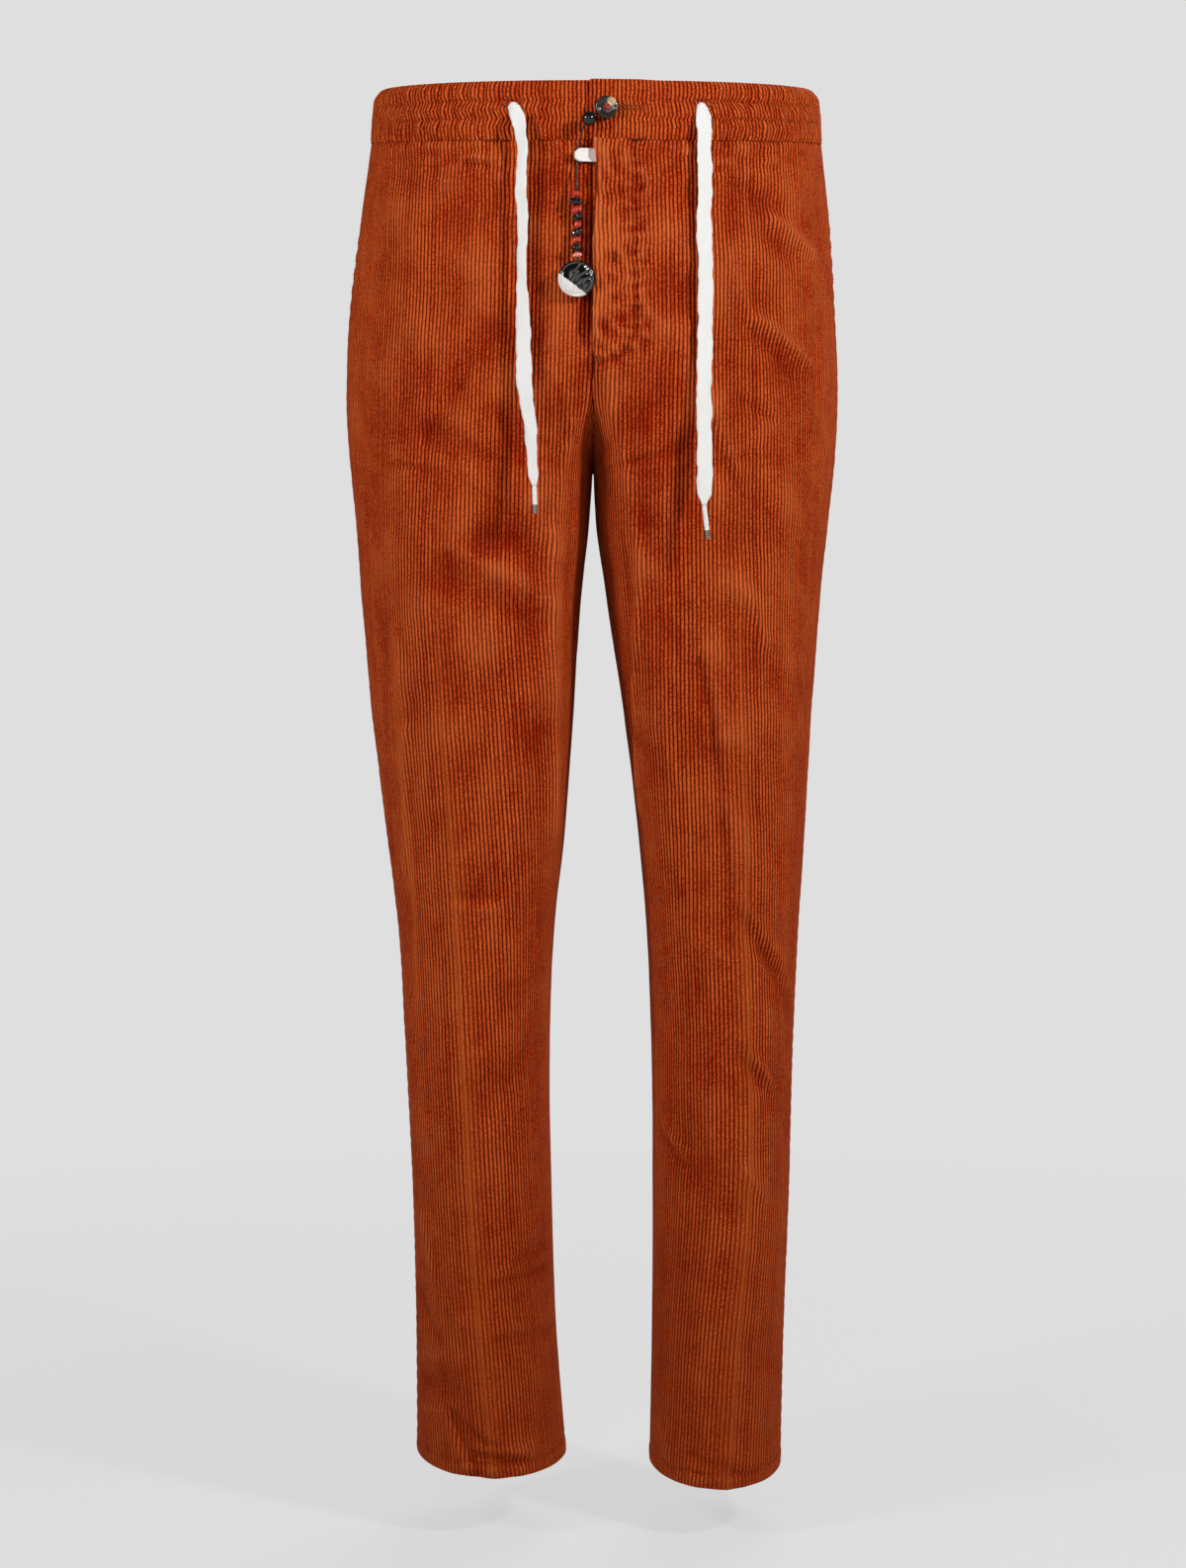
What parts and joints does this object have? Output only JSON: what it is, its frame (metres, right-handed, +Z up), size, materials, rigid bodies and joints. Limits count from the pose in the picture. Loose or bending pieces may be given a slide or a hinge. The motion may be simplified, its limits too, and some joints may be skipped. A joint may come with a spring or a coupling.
{
  "type": "corduroy drawstring trousers",
  "caption": "Straight velvet-pile corduroy trousers, filled out as worn and hollow, with a gathered waistband, button fly, drawstring and bead charm",
  "frame": {"origin": "middle of the waist opening, halfway up the waistband at the front, where the wearer holds the trousers up", "axes": "+Z up, the front faces -Y, the wearer's left is +X"},
  "size_m": [0.3546, 0.2814, 1.0116],
  "materials": {
    "corduroy": "eight-wale cotton corduroy, burnt orange, brushed pile",
    "cotton_tape": "flat woven white cotton tape",
    "aglet": "wound white tip with a bright metal end",
    "horn": "polished dark horn",
    "waxed_cord": "waxed cotton cord, black",
    "onyx": "tumbled black stone, polished",
    "coral": "tumbled red coral, polished"
  },
  "bodies": {
    "root": {"front_right": "corduroy", "front_left": "corduroy", "back_right": "corduroy", "back_left": "corduroy", "pocket_facing_right": "corduroy", "pocket_facing_left": "corduroy", "fly_shield": "corduroy", "waistband_right": "corduroy", "waistband_left": "corduroy", "waistband_back": "corduroy", "drawstring_right": "cotton_tape", "drawstring_left": "cotton_tape", "tape_loop": "cotton_tape", "aglet_right": "aglet", "aglet_left": "aglet", "button": "horn", "charm_cord": "waxed_cord", "bead": "onyx", "chip_2_onyx": "onyx", "chip_4_onyx": "onyx", "chip_6_onyx": "onyx", "chip_8_onyx": "onyx", "pendant": "onyx", "chip_1_coral": "coral", "chip_3_coral": "coral", "chip_5_coral": "coral", "chip_7_coral": "coral", "chip_9_coral": "coral"}
  },
  "joints": []
}
